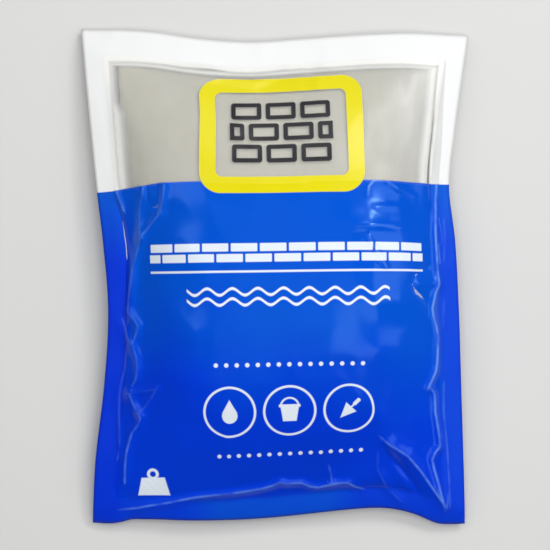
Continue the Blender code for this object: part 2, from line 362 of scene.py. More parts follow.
# Finest wrinkles of a film: height in metres and waves a metre, which the liner has larger
WRINKLES = {"Wrinkle": 0.00006, "Waves a metre": 90}
LINER_WRINKLES = {"Wrinkle": 0.0002, "Waves a metre": 60}
WRINKLE_NOISE = {"Detail": 3, "Roughness": 0.45, "Distortion": 0.8}
DULL_NOISE = {"Scale": 22, "Detail": 5}

# The liner looks whiter where it is slack. On the flat bag those are strips beyond SLACK_LEFT, SLACK_RIGHT
# and SLACK_TOP, which come on over SIDE_FADE and TOP_FADE, and a soft haze towards the right seal.
# SLACK_STEP narrows the left strip above a place. It and RIGHT_HAZE are a start, a length and an amount.
SLACK_LEFT = 0.0860
SLACK_STEP = (0.092, 0.008, 0.0030)
SLACK_RIGHT = 0.0865
SLACK_TOP = 0.1190
SIDE_FADE = 0.0065
TOP_FADE = 0.0024
SLACK_HAZE = 0.95
RIGHT_HAZE = (0.060, 0.022, 0.36)

# The powder's looks: how little it shines, its drift of tone and its grains, how much each adds to the tone
# and to the relief in metres, and the darkest and lightest tone as shares of its colour
CEMENT_SHADER = {"Roughness": 0.95, "Specular IOR Level": 0.15}
DRIFT_NOISE = {"Scale": 45, "Detail": 6}
GRAIN_NOISE = {"Scale": 1600, "Detail": 2}
DRIFT_TONE = 0.7
GRAIN_TONE = 0.3
DRIFT_RELIEF = 0.0012
GRAIN_RELIEF = 0.0002
TONES = (0.86, 1.12)

# The stage: half the floor's side, its roughness, and the light from all round
FLOOR_HALF = 3
FLOOR_ROUGHNESS = 0.7
WORLD_LIGHT = 0.12

# Name, place, size, watts, and whether the films mirror the lamp
LAMPS = (
    ("top_light", (0.10, 0.00, 1.70), (1.2, 1.2), 17, False),
    ("key_light", (0.62, 0.90, 1.02), (0.36, 0.36), 5.5, True),
    ("left_light", (-0.85, 0.45, 1.05), (0.6, 0.9), 3, True),
    ("right_light", (1.15, 0.20, 0.90), (0.5, 0.7), 2, True),
    ("far_light", (-0.10, 1.05, 1.00), (0.9, 0.45), 1.8, True),
    ("sheen_light", (0.56, -0.36, 1.25), (0.50, 0.70), 1.9, True),
    ("glint_light", (0.94, 0.56, 1.02), (0.17, 0.17), 2.0, True),
)

# The camera looks straight down. The photo shows SEEN_WIDTH metres of a level SEEN_HEIGHT over the floor.
CAMERA_PLACE = (0.00056, 0.00056, 1.4)
SEEN_WIDTH = 0.3101
SEEN_HEIGHT = 0.012


class PouchSizes(bpy.types.PropertyGroup):
    """Sizes of the flat bag and of what is in it"""

    flat_width: bpy.props.FloatProperty(
        name="Flat width", description="Width of the empty outer bag", default=0.220, unit="LENGTH")
    flat_length: bpy.props.FloatProperty(
        name="Flat length", description="Length of the empty outer bag", default=0.283, unit="LENGTH")
    side_seal: bpy.props.FloatProperty(
        name="Side seal", description="Width of the seals at both sides", default=0.0115, unit="LENGTH")
    top_seal: bpy.props.FloatProperty(
        name="Top seal", description="Width of the seal at the top", default=0.0155, unit="LENGTH")
    bottom_seal: bpy.props.FloatProperty(
        name="Bottom seal", description="Width of the seal at the foot", default=0.0125, unit="LENGTH")
    window_foot: bpy.props.FloatProperty(
        name="Window's foot", description="Where the clear window ends, as a share of the length",
        default=0.688, min=0.3, max=0.9)
    film: bpy.props.FloatProperty(
        name="Film", description="Thickness of the outer film", default=0.0003, unit="LENGTH")
    liner_film: bpy.props.FloatProperty(
        name="Liner film", description="Thickness of the liner's film", default=0.0001, unit="LENGTH")
    liner_reach: bpy.props.FloatProperty(
        name="Liner's reach", description="Where the liner ends, as a share of the way to the seams",
        default=0.99, min=0.5, max=1)
    liner_cell: bpy.props.FloatProperty(
        name="Liner cell", description="Cell of the liner's mesh", default=0.0034, unit="LENGTH")
    front_cell: bpy.props.FloatProperty(
        name="Front cell", description="Cell of the front film in the simulation",
        default=0.00225, unit="LENGTH")
    back_cell: bpy.props.FloatProperty(
        name="Back cell", description="Cell of the back film in the simulation",
        default=0.0034, unit="LENGTH")
    lumps: bpy.props.FloatProperty(
        name="Lumps", description="Height of the powder's soft lumps", default=0.0003, unit="LENGTH")


class PouchColours(bpy.types.PropertyGroup):
    """Inks, films and powder"""

    blue: bpy.props.FloatVectorProperty(
        name="Blue", description="Ink of the lower two thirds", subtype="COLOR", default=(0.0, 0.080, 0.60))
    # Painted shade: a darker blue laid over the ink where the film turns away from the light and towards the
    # foot
    painted_shade_blue: bpy.props.FloatVectorProperty(
        name="Deep blue", description="The same ink where no pale powder shines through it",
        subtype="COLOR", default=(0.0, 0.030, 0.64))
    white: bpy.props.FloatVectorProperty(
        name="White", description="Ink of the borders", subtype="COLOR",
        default=(0.80, 0.80, 0.79))
    motifs: bpy.props.FloatVectorProperty(
        name="Motifs", description="White ink on the blue", subtype="COLOR", default=(0.74, 0.80, 0.88))
    # Painted highlight: a paler blue laid along fold crests, where the glossy film would catch the light
    painted_glint: bpy.props.FloatVectorProperty(
        name="Creased", description="Blue ink that has paled along a crease", subtype="COLOR",
        default=(0.14, 0.30, 0.80))
    sealed: bpy.props.FloatVectorProperty(
        name="Sealed", description="Clear film where it is sealed", subtype="COLOR",
        default=(0.64, 0.64, 0.62))
    lining: bpy.props.FloatVectorProperty(
        name="Lining", description="Unprinted inside of the films", subtype="COLOR",
        default=(0.80, 0.80, 0.78))
    yellow: bpy.props.FloatVectorProperty(
        name="Yellow", description="Ink of the frame in the window", subtype="COLOR",
        default=(0.72, 0.64, 0.002))
    black: bpy.props.FloatVectorProperty(
        name="Black", description="Ink of the bricks in the window", subtype="COLOR",
        default=(0.012, 0.012, 0.016))
    clear: bpy.props.FloatVectorProperty(
        name="Clear film", description="Haze of the unprinted film", subtype="COLOR",
        default=(0.80, 0.80, 0.78))
    cement: bpy.props.FloatVectorProperty(
        name="Cement", description="Dry powder", subtype="COLOR", default=(0.53, 0.515, 0.43))
    floor: bpy.props.FloatVectorProperty(
        name="Floor", description="Pale floor", subtype="COLOR", default=(0.635, 0.635, 0.625))


def eased(points, at):
    """The value at one place of a smooth curve through a few (place, value) points."""
    last = len(points) - 1
    i = max(k for k in range(last) if k == 0 or points[k][0] <= at)
    (x0, y0), (x1, y1) = points[i], points[i + 1]

    def slope(k):
        before, after = points[max(k - 1, 0)], points[min(k + 1, last)]
        return (after[1] - before[1]) / (after[0] - before[0])

    step = x1 - x0
    w = (at - x0) / step
    return ((1 + 2 * w) * (1 - w) ** 2 * y0 + w * (1 - w) ** 2 * step * slope(i)
            + w * w * (3 - 2 * w) * y1 + w * w * (w - 1) * step * slope(i + 1))


def flat_place(s, t):
    """Where a point lies on the flat bag, from shares of its width and length."""
    sizes = bpy.context.scene.pouch_sizes
    return (s - 0.5) * sizes.flat_width, (t - 0.5) * sizes.flat_length


def plan(s, t):
    """Where a point of the flat bag lies in the filled one, seen from above, if its film were stretchy."""
    sizes = bpy.context.scene.pouch_sizes
    left = -sizes.flat_width / 2 + eased(LEFT_PULL, t)
    right = sizes.flat_width / 2 - eased(RIGHT_PULL, t)
    bottom = -sizes.flat_length / 2 + eased(BOTTOM_PULL, s)
    top = sizes.flat_length / 2 - eased(TOP_PULL, s)
    return left + (right - left) * s, bottom + (top - bottom) * t


def seam_height(s, t):
    """Height of the surface in which the two films are sealed together."""
    sizes = bpy.context.scene.pouch_sizes
    climb = math.sin(math.pi * t) ** CLIMB_POWER if 0 < t < 1 else 0
    end = CORNER_HEIGHT + (END_SEAM_HEIGHT - CORNER_HEIGHT) * max(math.sin(math.pi * s), 0)
    height = end + (SIDE_SEAM_HEIGHT - end) * climb
    height += END_WAVE_HEIGHT * math.sin(2 * math.pi * END_WAVES * s) * abs(2 * t - 1) ** END_WAVE_FADE
    x, y = flat_place(s, t)
    past_side = max(abs(x) - sizes.flat_width / 2 + sizes.side_seal, 0) / sizes.side_seal
    end_seal = sizes.top_seal if y > 0 else sizes.bottom_seal
    past_end = max(abs(y) - sizes.flat_length / 2 + end_seal, 0) / end_seal
    return height - max(SIDE_DROOP * past_side * climb, END_DROOP * past_end)


def seal_height(s, t):
    """The seams' surface with the small ripples of the real seals."""
    x, y = plan(s, t)
    return seam_height(s, t) + RIPPLE * noise.noise((x * RIPPLE_WAVES, y * RIPPLE_WAVES, RIPPLE_SLICE))


def in_seal(s, t):
    """Whether a point of the flat bag lies on a seal, its inner edge included."""
    sizes = bpy.context.scene.pouch_sizes
    x, y = flat_place(s, t)
    return (abs(x) > sizes.flat_width / 2 - sizes.side_seal - HAIR
            or y > sizes.flat_length / 2 - sizes.top_seal - HAIR
            or y < sizes.bottom_seal - sizes.flat_length / 2 + HAIR)


def row_order(shares):
    """Order that sorts a grid's vertices by row, and in a row by column."""
    return np.lexsort(np.array(shares).T)


def steps(stops, cells):
    """Even steps between each two stops, with that number of cells each."""
    marks = [stops[0]]
    for low, high, count in zip(stops, stops[1:], cells):
        marks += [low + (high - low) * k / count for k in range(1, count + 1)]
    return marks


def seal_shares():
    """Inner edges of the seals as shares of the flat bag: left, right, low and high."""
    sizes = bpy.context.scene.pouch_sizes
    side = sizes.side_seal / sizes.flat_width
    return side, 1 - side, sizes.bottom_seal / sizes.flat_length, 1 - sizes.top_seal / sizes.flat_length


def film_lines(cell):
    """Shares of the flat bag's sides at which a film has its lines: across, and along."""
    sizes = bpy.context.scene.pouch_sizes
    left, right, low, high = seal_shares()
    foot = sizes.window_foot - FOOT_DIP

    def count(a, b, length):
        return max(round((b - a) * length / cell), 1)

    middle = count(left, right, sizes.flat_width)
    lower, upper = count(low, foot, sizes.flat_length), count(foot, high, sizes.flat_length)
    return (steps((0, left, right, 1), (MARGIN_CELLS, middle, MARGIN_CELLS)),
            steps((0, low, foot, high, 1), (MARGIN_CELLS, lower, upper, MARGIN_CELLS)))


def mesh_from(bm, name):
    """A mesh with what a bmesh holds. The bmesh is freed."""
    mesh = bpy.data.meshes.new(name)
    bm.to_mesh(mesh)
    bm.free()
    return mesh


def grid_mesh(name, across, along, place, face_up=True):
    """A mesh grid over the flat bag, put in place by a function of (s, t), with (s, t) as its UV map.

    Returns the mesh and each vertex's (s, t), in the mesh's order.
    """
    bm = bmesh.new()
    columns, rows = len(across) - 1, len(along) - 1
    bmesh.ops.create_grid(bm, x_segments=columns, y_segments=rows, size=1)
    bm.verts.index_update()
    shares = []
    for v in bm.verts:
        shares.append((across[round((v.co.x + 1) / 2 * columns)], along[round((v.co.y + 1) / 2 * rows)]))
    uv = bm.loops.layers.uv.new("flat")
    for face in bm.faces:
        for loop in face.loops:
            loop[uv].uv = shares[loop.vert.index]
    for v, share in zip(bm.verts, shares):
        v.co = place(*share)
    if not face_up:
        bmesh.ops.reverse_faces(bm, faces=bm.faces)
    return mesh_from(bm, name), shares


def linked(name, mesh):
    """An object with that mesh, in the scene."""
    piece = bpy.data.objects.new(name, mesh)
    bpy.context.scene.collection.objects.link(piece)
    return piece


def level_square(name, half, cells):
    """A level square at the floor's height, in the scene."""
    bm = bmesh.new()
    bmesh.ops.create_grid(bm, x_segments=cells, y_segments=cells, size=half)
    return linked(name, mesh_from(bm, name))


def cement_tree():
    """A tree for finding points on the cement's solid."""
    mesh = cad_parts["cement_fill"].data
    return BVHTree.FromPolygons([v.co for v in mesh.vertices], [p.vertices for p in mesh.polygons])


def heap_height(tree, side, x, y, seam):
    """Height at which the cement, or where there is none the other film, stops this one."""
    start = Vector((x, y, side))
    hit = tree.ray_cast(start, Vector((0, 0, -side)))[0]
    if hit is None:
        return seam
    return max(hit.z, seam) if side > 0 else min(hit.z, seam)


def heap_mesh(side):
    """The surface under a film, still flat, and where it goes: the cement's skin, and the seams round it."""
    sizes = bpy.context.scene.pouch_sizes
    tree = cement_tree()
    across = steps((0, 1), (round(sizes.flat_width / HEAP_CELL),))
    along = steps((0, 1), (round(sizes.flat_length / HEAP_CELL),))

    def empty(s, t):
        return Vector((*flat_place(s, t), SIDE_SEAM_HEIGHT - side * EMPTY_GAP / 2)) * CLOTH_SCALE

    mesh, shares = grid_mesh("heap", across, along, empty, side > 0)
    goals = []
    for s, t in shares:
        x, y = plan(s, t)
        goals.append((x, y, heap_height(tree, side, x, y, seal_height(s, t))))
    return mesh, goals


def moving(mesh, goals):
    """An object whose mesh moves from where it is to the goals while the bag is filled."""
    helper = linked(mesh.name, mesh)
    helper.shape_key_add(name="empty")
    full = helper.shape_key_add(name="filled")
    for point, goal in zip(full.data, goals):
        point.co = Vector(goal) * CLOTH_SCALE
    full.value = 0
    full.keyframe_insert("value", frame=1)
    full.value = 1
    full.keyframe_insert("value", frame=BLOWN_FRAME)
    return helper


def stopper(helper, standoff):
    """Makes an object stop the film."""
    helper.modifiers.new("stop", "COLLISION")
    helper.collision.thickness_outer = standoff * CLOTH_SCALE
    helper.collision.cloth_friction = FRICTION


def blown(film):
    """Makes a film a cloth that is blown up, and later drawn down."""
    cloth = film.modifiers.new("drape", "CLOTH")
    for name, value in FILM_CLOTH.items():
        setattr(cloth.settings, name, value)
    cloth.settings.effector_weights.gravity = 0
    cloth.collision_settings.distance_min = FILM_CONTACT * CLOTH_SCALE
    cloth.collision_settings.collision_quality = COLLISION_QUALITY
    cloth.collision_settings.use_self_collision = False
    cloth.point_cache.frame_start = 1
    cloth.point_cache.frame_end = LAST_FRAME
    cloth.settings.keyframe_insert("uniform_pressure_force", frame=LET_OFF_FRAMES[0])
    cloth.settings.uniform_pressure_force = SUCTION
    cloth.settings.keyframe_insert("uniform_pressure_force", frame=LET_OFF_FRAMES[1])


def places_of(mesh):
    """A mesh's vertex places, as rows of an array."""
    places = np.empty(len(mesh.vertices) * 3)
    mesh.vertices.foreach_get("co", places)
    return places.reshape(-1, 3)


def draped(side, cell):
    """Rows of places of an outer film that is blown up and then drawn down on the powder, in metres.

    Its seals are held at the seams, and the edges come in as the bag fills.
    """
    scene = bpy.context.scene
    rng = np.random.default_rng(CLOTH_SEED)
    across, along = film_lines(cell)

    def start(s, t):
        off = 0 if in_seal(s, t) else EMPTY_GAP + rng.normal() * CLOTH_JITTER
        return Vector((*flat_place(s, t), SIDE_SEAM_HEIGHT + side * off)) * CLOTH_SCALE

    mesh, shares = grid_mesh("film", across, along, start, side > 0)
    goals = []
    for s, t in shares:
        off = SEAL_GAP if in_seal(s, t) else EMPTY_GAP
        goals.append((*plan(s, t), seal_height(s, t) + side * off))
    film = moving(mesh, goals)
    for name, sealed in (("seals", True), ("loose", False)):
        points = [i for i, share in enumerate(shares) if in_seal(*share) == sealed]
        film.vertex_groups.new(name=name).add(points, 1, "REPLACE")
    helpers = [film, moving(*heap_mesh(side))]
    stopper(helpers[-1], FILM_STANDOFF)
    if side < 0:
        helpers.append(level_square("ground", GROUND_HALF * CLOTH_SCALE, 1))
        stopper(helpers[-1], FLOOR_STANDOFF)
    blown(film)
    last = LAST_FRAME
    for step in range(1, last + 1):
        scene.frame_set(step)
    result = film.evaluated_get(bpy.context.evaluated_depsgraph_get()).data
    places = places_of(result) / CLOTH_SCALE
    places = places[row_order(shares)].reshape(len(along), len(across), 3)
    scene.frame_set(1)
    for helper in helpers:
        data = helper.data
        bpy.data.objects.remove(helper)
        bpy.data.meshes.remove(data)
    for action in list(bpy.data.actions):
        bpy.data.actions.remove(action)
    return places


def refined(piece, levels):
    """Rounds a piece off by subdivision."""
    rounding = piece.modifiers.new("rounding", "SUBSURF")
    rounding.levels = levels
    rounding.render_levels = levels


def settled(name, rough, levels):
    """A finished object with a rough mesh's shape, rounded by subdivision."""
    helper = linked("rough", rough)
    refined(helper, levels)
    shape = helper.evaluated_get(bpy.context.evaluated_depsgraph_get())
    mesh = bpy.data.meshes.new_from_object(shape)
    bpy.data.objects.remove(helper)
    bpy.data.meshes.remove(rough)
    mesh.name = name
    mesh.shade_smooth()
    return linked(name, mesh)


def kept_off(places, tree, side, standoff):
    """Moves a film's points up, or down for the back, until they are clear of what lies under it."""
    for place in places:
        start = Vector((place[0], place[1], side))
        hit = tree.ray_cast(start, Vector((0, 0, -side)))[0]
        if hit is not None:
            place[2] = side * max(side * place[2], side * hit.z + standoff)


def ramp(values, limits):
    """Shares from 0 at the first limit to 1 at the second."""
    return np.clip((values - limits[0]) / (limits[1] - limits[0]), 0, 1)


def calmed(places, rounds):
    """Smooths a film, given as rows of places, most in the zones where folds are laid in."""
    weight = np.full(places.shape[:2], CALM_ELSEWHERE)
    for across, along in CALM_ZONES:
        zone = np.ones(places.shape[:2])
        for axis, limits in ((0, across), (1, along)):
            if limits:
                zone = np.minimum(zone, ramp(places[..., axis], limits))
        weight = np.maximum(weight, zone)
    free = slice(MARGIN_CELLS + 1, -MARGIN_CELLS - 1)
    near = slice(MARGIN_CELLS, -MARGIN_CELLS - 2)
    far = slice(MARGIN_CELLS + 2, -MARGIN_CELLS)
    for _ in range(rounds):
        mean = (places[near, free] + places[far, free] + places[free, near] + places[free, far]) / 4
        places[free, free] += weight[free, free, None] * (mean - places[free, free])
    return places


def resampled(places, old, new):
    """Rows of places at old stops, smoothly interpolated to new stops."""
    old, new = np.array(old), np.array(new)
    i = np.clip(np.searchsorted(old, new, side="right") - 1, 0, len(old) - 2)
    step = (old[i + 1] - old[i])[:, None, None]
    w = (new - old[i])[:, None, None] / step
    slope = np.gradient(places, old, axis=0)
    return ((1 + 2 * w) * (1 - w) ** 2 * places[i] + w * (1 - w) ** 2 * step * slope[i]
            + w * w * (3 - 2 * w) * places[i + 1] + w * w * (w - 1) * step * slope[i + 1])


def from_crest(x, y, crest):
    """How far places are from a fold's crest, below 0 on its one side, and the crest's height there."""
    nearest = np.full(x.shape, np.inf)
    height = np.zeros(x.shape)
    for (x0, y0, h0), (x1, y1, h1) in zip(crest, crest[1:]):
        dx, dy = x1 - x0, y1 - y0
        along = np.clip(((x - x0) * dx + (y - y0) * dy) / (dx * dx + dy * dy), 0, 1)
        off = np.hypot(x - x0 - along * dx, y - y0 - along * dy)
        off = np.copysign(off, (x - x0) * dy - (y - y0) * dx)
        nearer = abs(off) < abs(nearest)
        nearest = np.where(nearer, off, nearest)
        height = np.where(nearer, h0 + (h1 - h0) * along, height)
    return nearest, height


def fold_height(x, y, half_width, crest):
    """Height that one fold adds at places: a narrow crest with hollow flanks."""
    nearest, height = from_crest(x, y, crest)
    rounded = np.hypot(nearest, CREST_ROUND) - CREST_ROUND
    return height * np.clip(1 - rounded / half_width, 0, 1) ** FLANK_POWER


def painted_glint_lines(x, y):
    """Signed distance in metres to the nearest painted-highlight crest, and how strong its highlight is."""
    distance = np.full(x.shape, np.inf)
    strength = np.zeros(x.shape)
    for _, worn, crest in FRONT_FOLDS:
        if worn:
            off = from_crest(x, y, crest)[0]
            nearer = abs(off) < abs(distance)
            distance = np.where(nearer, off, distance)
            strength = np.where(nearer, worn * np.clip(1 - abs(off) / GLINT_REACH, 0, 1), strength)
    return {"crease": distance / MM, "worn": strength}


def crumpled(place):
    """Height that the soft crumples add at one place: flat facets that meet in low ridges."""
    x, y = place[0] * CRUMPLE_WAVES[0], place[1] * CRUMPLE_WAVES[1]
    at = (x + y * CRUMPLE_LEAN[0], y - x * CRUMPLE_LEAN[1], CRUMPLE_SLICE)
    return CRUMPLE * (CRUMPLE_LEVEL - abs(noise.noise(at)))


def folded(places):
    """Lays the folds and crumples in the front film's places. Returns the marks of its painted crest
    highlights.
    """
    x, y = places[:, 0] * MM, places[:, 1] * MM
    heights = sum(fold_height(x, y, half_width, crest) for half_width, _, crest in FRONT_FOLDS)
    places[:, 2] += heights * FOLD_SCALE / MM
    places[:, 2] += [crumpled(place) for place in places]
    return painted_glint_lines(x, y)


def in_mesh_order(values, order):
    """Values in a mesh's order, from values in the order of row_order."""
    ordered = np.empty(values.shape)
    ordered[order] = values
    return ordered


def film_panel(name, side, cell):
    """An outer film as a finished mesh object, without materials."""
    sizes = bpy.context.scene.pouch_sizes
    old_across, old_along = film_lines(cell)
    places = calmed(draped(side, cell), CALM_ROUNDS if side > 0 else BACK_CALM_ROUNDS)
    if side > 0:
        left, right, low, high = seal_shares()
        across = steps((0, left, *FRONT_COLUMNS[0], right, 1), FRONT_COLUMNS[1])
        along = steps((0, low, *FRONT_ROWS[0], sizes.window_foot - FOOT_DIP, high, 1), FRONT_ROWS[1])
    else:
        across, along = film_lines(cell / 2)
    places = resampled(places, old_along, along).transpose(1, 0, 2)
    places = resampled(places, old_across, across).transpose(1, 0, 2).reshape(-1, 3)
    marks = folded(places) if side > 0 else {}
    kept_off(places, cement_tree(), side, FILM_STANDOFF)
    seams = np.array([seal_height(s, t) for t in along for s in across])
    places[:, 2] = side * np.maximum(side * places[:, 2], side * seams + SEAM_CLEARANCE)
    if side < 0:
        places[:, 2] = np.maximum(places[:, 2], sizes.film)
    mesh, shares = grid_mesh(name, across, along, lambda s, t: (s, t, 0), side > 0)
    order = row_order(shares)
    mesh.vertices.foreach_set("co", in_mesh_order(places, order).ravel())
    for mark, values in marks.items():
        mesh.attributes.new(mark, "FLOAT", "POINT").data.foreach_set("value", in_mesh_order(values, order))
    mesh.shade_smooth()
    return linked(name, mesh)


def liner_height(powder, film, side, x, y, seam):
    """Height of one of the liner's two films: on the powder, with folds in front where there is room."""
    floor = side * heap_height(powder, side, x, y, seam)
    ceiling = side * film.ray_cast(Vector((x, y, side)), Vector((0, 0, -side)))[0].z - LINER_OFF_FILM
    off = LINER_OFF_CEMENT if floor > side * seam else LINER_OFF_SEAM
    lift = off
    if side > 0:
        wave = abs(noise.noise((x * LINER_WAVES[0], y * LINER_WAVES[1], LINER_SLICE)))
        lift = max(off + max(1 - wave * LINER_NARROW, 0) * LINER_WRINKLE, (ceiling - floor) * LINER_LIFT)
    return side * min(floor + lift, max(ceiling, floor + off / 2))


def liner_mesh():
    """The liner: two films joined round their rim."""
    sizes = bpy.context.scene.pouch_sizes
    left, right, low, high = seal_shares()
    inset = (1 - sizes.liner_reach) / 2
    inset_across, inset_along = inset * (right - left), inset * (high - low)
    spans = (left + inset_across, right - inset_across), (low + inset_along, high - inset_along)
    across, along = (
        steps(span, (round((span[1] - span[0]) * length / sizes.liner_cell),))
        for span, length in zip(spans, (sizes.flat_width, sizes.flat_length)))
    powder = cement_tree()
    bm = bmesh.new()
    for side, name in ((1, "printed_front"), (-1, "printed_back")):
        film = BVHTree.FromObject(bpy.data.objects[name], bpy.context.evaluated_depsgraph_get())

        def place(s, t):
            x, y = plan(s, t)
            seam = seal_height(s, t)
            to_rim = [abs(at - rim) for at, span in zip((s, t), spans) for rim in span]
            if min(to_rim) < HAIR:
                return x, y, seam
            return x, y, liner_height(powder, film, side, x, y, seam)

        half = grid_mesh("half", across, along, place, side > 0)[0]
        bm.from_mesh(half)
        bpy.data.meshes.remove(half)
    rim = [v for v in bm.verts if v.is_boundary]
    bmesh.ops.remove_doubles(bm, verts=rim, dist=HAIR)
    return mesh_from(bm, "liner")


class Field:
    """A number or a colour that varies over a surface: a socket that can be counted with."""

    def __init__(self, tree, out):
        self.tree = tree
        self.out = out

    def counted(self, operation, *others):
        node = self.tree.nodes.new("ShaderNodeMath")
        node.operation = operation
        for put, value in zip(node.inputs, (self, *others)):
            given(put, value)
        return Field(self.tree, node.outputs[0])

    def __add__(self, other):
        return self.counted("ADD", other)

    def __sub__(self, other):
        return self.counted("SUBTRACT", other)

    def __mul__(self, other):
        return self.counted("MULTIPLY", other)

    def __truediv__(self, other):
        return self.counted("DIVIDE", other)

    def __abs__(self):
        return self.counted("ABSOLUTE")

    def least(self, other):
        return self.counted("MINIMUM", other)

    def most(self, other):
        return self.counted("MAXIMUM", other)

    def sine(self):
        return self.counted("SINE")

    def root(self):
        return self.counted("SQRT")

    def wrapped(self, low, high):
        return self.counted("WRAP", high, low)

    def whole(self):
        return self.counted("FLOOR")

    def mapped(self, old, new):
        """The field with the range between two old values put between two new ones, and cut off there."""
        node = self.tree.nodes.new("ShaderNodeMapRange")
        for name, value in zip(("Value", "From Min", "From Max", "To Min", "To Max"), (self, *old, *new)):
            given(node.inputs[name], value)
        return Field(self.tree, node.outputs["Result"])


def given(put, value):
    """Feeds a socket with a field, or sets it to a value."""
    if isinstance(value, Field):
        value.tree.links.new(value.out, put)
    else:
        put.default_value = value


def clamped(field):
    """A field cut off below 0 and above 1."""
    return field.most(0).least(1)


def inked(distance):
    """A mask from a signed distance: 1 inside, 0 outside."""
    return distance.mapped((INK_EDGE, -INK_EDGE), (0, 1))


def box(x, y, centre, half, radius=0.0):
    """Signed distance to a box with rounded corners."""
    dx = abs(x - centre[0]) - (half[0] - radius)
    dy = abs(y - centre[1]) - (half[1] - radius)
    far = (dx.most(0) * dx.most(0) + dy.most(0) * dy.most(0)).root()
    return far + dx.most(dy).least(0) - radius


def disc(x, y, centre, radius):
    """Signed distance to a disc."""
    dx, dy = x - centre[0], y - centre[1]
    return (dx * dx + dy * dy).root() - radius


def band(distance, width):
    """Signed distance to a line of that width along a shape's edge."""
    return abs(distance) - width / 2


def without(distance, other):
    """A shape less another one."""
    return distance.most(other * -1)


def bricks(x, y, centre, half, brick, course, joint, corner):
    """Signed distance to a running bond of bricks, cut off by a box of whole courses."""
    up = y - centre[1] + half[1]
    shift = (up / course).whole().wrapped(0, 2) * (brick / 2)
    bx = (x - centre[0] + shift).wrapped(-brick / 2, brick / 2)
    by = up.wrapped(0, course)
    one = box(bx, by, (0, course / 2), ((brick - joint) / 2, (course - joint) / 2), corner)
    return one.most(box(x, y, centre, half))


def waves(x, y, height):
    """Signed distance, roughly, to a wavy line."""
    return abs(y - height - (x * (2 * math.pi / WAVE_LENGTH)).sine() * WAVE_SWING) - WAVE_LINE / 2


def drop(x, y, centre):
    """Signed distance to a drop of water, 14 mm high: a ball under a cone."""
    ball_below, ball_radius = 0.002, 0.0044
    flank, reach, cone_below = (0.87, 0.5), 0.0036, 0.0002
    dx, dy = abs(x - centre[0]), y - centre[1]
    ball = disc(x, y, (centre[0], centre[1] - ball_below), ball_radius)
    return ball.least((dx * flank[0] + dy * flank[1] - reach).most(dy * -1 - cone_below))


def bucket(x, y, centre):
    """Signed distance to a bucket with its bail, 14 mm high."""
    flare, tub_half, tub_below = 0.16, (0.0047, 0.0044), 0.0016
    rim_up, rim_half, rim_corner = 0.0031, (0.0060, 0.0008), 0.0004
    bail_up, bail_radius, bail_line, bail_from = 0.0026, 0.0050, 0.0010, 0.0030
    dx, dy = x - centre[0], y - centre[1]
    tub = (abs(dx) - dy * flare - tub_half[0]).most(abs(dy + tub_below) - tub_half[1])
    rim = box(x, y, (centre[0], centre[1] + rim_up), rim_half, rim_corner)
    bail = band(disc(x, y, (centre[0], centre[1] + bail_up), bail_radius), bail_line)
    return tub.least(rim).least(bail.most(dy * -1 + bail_from))


def trowel(x, y, centre):
    """Signed distance to a pointing trowel that lies slanting, 16 mm long."""
    slant = 0.707
    blade_wide, tip, taper, blade_end = 0.9, 0.0076, 0.42, 0.0012
    along = (x - centre[0]) * slant + (y - centre[1]) * slant
    across = (y - centre[1]) * slant - (x - centre[0]) * slant
    shank, grip = ((0.0024, 0), (0.0016, 0.0005)), ((0.0056, 0), (0.0026, 0.0011), 0.0009)
    blade = (abs(across) * blade_wide - (along + tip) * taper).most(along - blade_end)
    return blade.least(box(along, across, *shank)).least(box(along, across, *grip))


def weight(x, y, centre):
    """Signed distance to a scale weight 17 mm high, as a share of WEIGHT_SCALE."""
    slope, body_half, body_below = 0.22, (0.0056, 0.0042), 0.0012
    ring_up, ring_radius, ring_line = 0.0046, 0.0019, 0.0012
    dx, dy = (x - centre[0]) / WEIGHT_SCALE, (y - centre[1]) / WEIGHT_SCALE
    body = (abs(dx) + dy * slope - body_half[0]).most(abs(dy + body_below) - body_half[1])
    return body.least(band(disc(dx, dy, (0, ring_up), ring_radius), ring_line))


def blue_edge(x):
    """Height of the blue's upper edge on the flat bag."""
    sizes = bpy.context.scene.pouch_sizes
    foot = (sizes.window_foot - 0.5) * sizes.flat_length
    return foot + x * PRINT_SKEW - max(-x - SAG_FROM, 0) * SAG_SLOPE


def new_group(name, outputs, **inputs):
    """An empty shader node group: kinds of what it puts out, and defaults of the numbers it is given."""
    tree = bpy.data.node_groups.new(name, "ShaderNodeTree")
    for label, kind in outputs.items():
        tree.interface.new_socket(name=label, in_out="OUTPUT", socket_type=kind)
    for label, default in inputs.items():
        made = tree.interface.new_socket(name=label, in_out="INPUT", socket_type="NodeSocketFloat")
        made.default_value = default
    return tree


def group_out(tree, **fields):
    """Sends fields out of a group under their names."""
    out = tree.nodes.new("NodeGroupOutput")
    for name, field in fields.items():
        given(out.inputs[name], field)


def flat_fields(tree):
    """Fields of the place on the flat bag, in metres from its middle, read from the flat UV map."""
    sizes = bpy.context.scene.pouch_sizes
    uv = tree.nodes.new("ShaderNodeUVMap")
    uv.uv_map = "flat"
    split = tree.nodes.new("ShaderNodeSeparateXYZ")
    tree.links.new(uv.outputs["UV"], split.inputs["Vector"])
    x = (Field(tree, split.outputs["X"]) - 0.5) * sizes.flat_width
    y = (Field(tree, split.outputs["Y"]) - 0.5) * sizes.flat_length
    return x, y


def noise_field(tree, **values):
    """A noise over the piece's own place. Its scale is in waves a metre."""
    node = tree.nodes.new("ShaderNodeTexNoise")
    tree.links.new(tree.nodes.new("ShaderNodeTexCoord").outputs["Object"], node.inputs["Vector"])
    for name, value in values.items():
        given(node.inputs[name], value)
    return Field(tree, node.outputs["Fac"])


def mark_field(tree, name):
    """A number that a mesh's points carry."""
    node = tree.nodes.new("ShaderNodeAttribute")
    node.attribute_name = name
    return Field(tree, node.outputs["Fac"])


